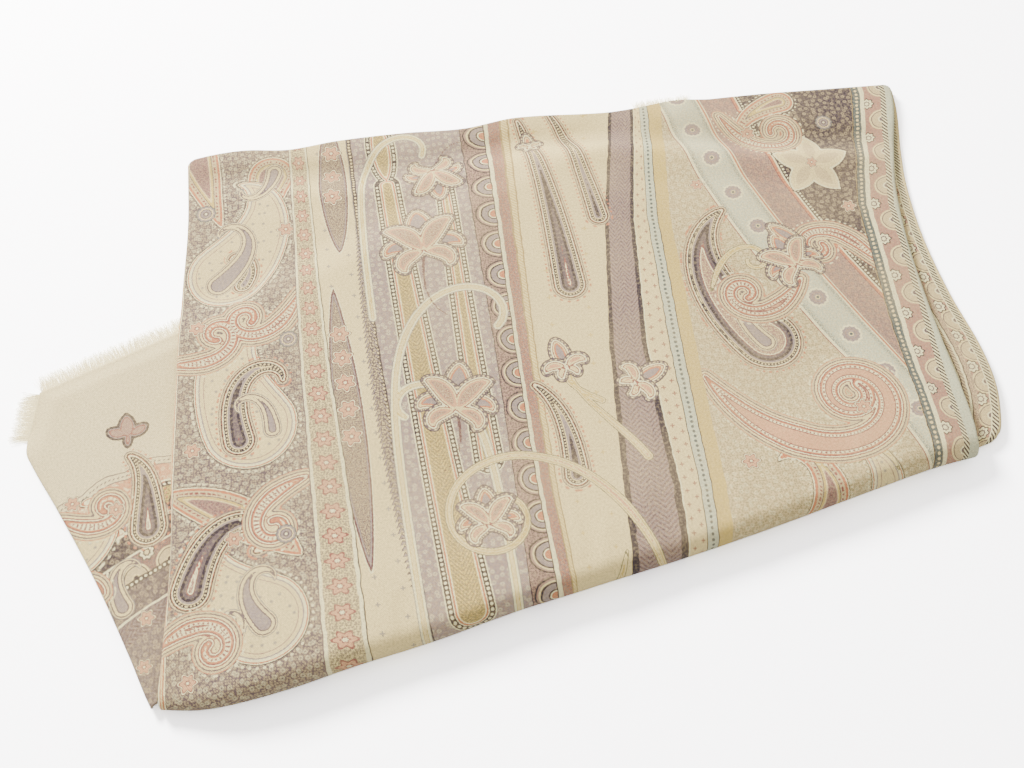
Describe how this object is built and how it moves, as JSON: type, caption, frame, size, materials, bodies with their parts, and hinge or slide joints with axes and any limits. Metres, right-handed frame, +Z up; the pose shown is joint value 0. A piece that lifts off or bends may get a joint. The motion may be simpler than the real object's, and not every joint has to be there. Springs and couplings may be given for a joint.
{
  "type": "stole",
  "caption": "Wide printed stole with short eyelash fringe, folded into a packet and laid flat with one corner flap out to the side.",
  "frame": {"origin": "centre of the footprint, on the surface that the folded stole lies on", "axes": "+X along the straight back fold to the right, +Y from the round front fold to the back, +Z up"},
  "size_m": [0.6195, 0.424, 0.0203],
  "materials": {
    "printed_cloth": "matte fine twill with a faded print of paisleys, bands and borders",
    "layered_cloth": "the same twill, seen at the folded edges of the hidden layers",
    "fringe": "fine off-white yarn ends"
  },
  "bodies": {
    "root": {"upper_stretch": "printed_cloth", "side_stretch": "printed_cloth", "corner_flap": "printed_cloth", "inner_layers": "layered_cloth", "far_fringe": "fringe", "end_fringe": "fringe", "back_fringe": "fringe"}
  },
  "joints": []
}
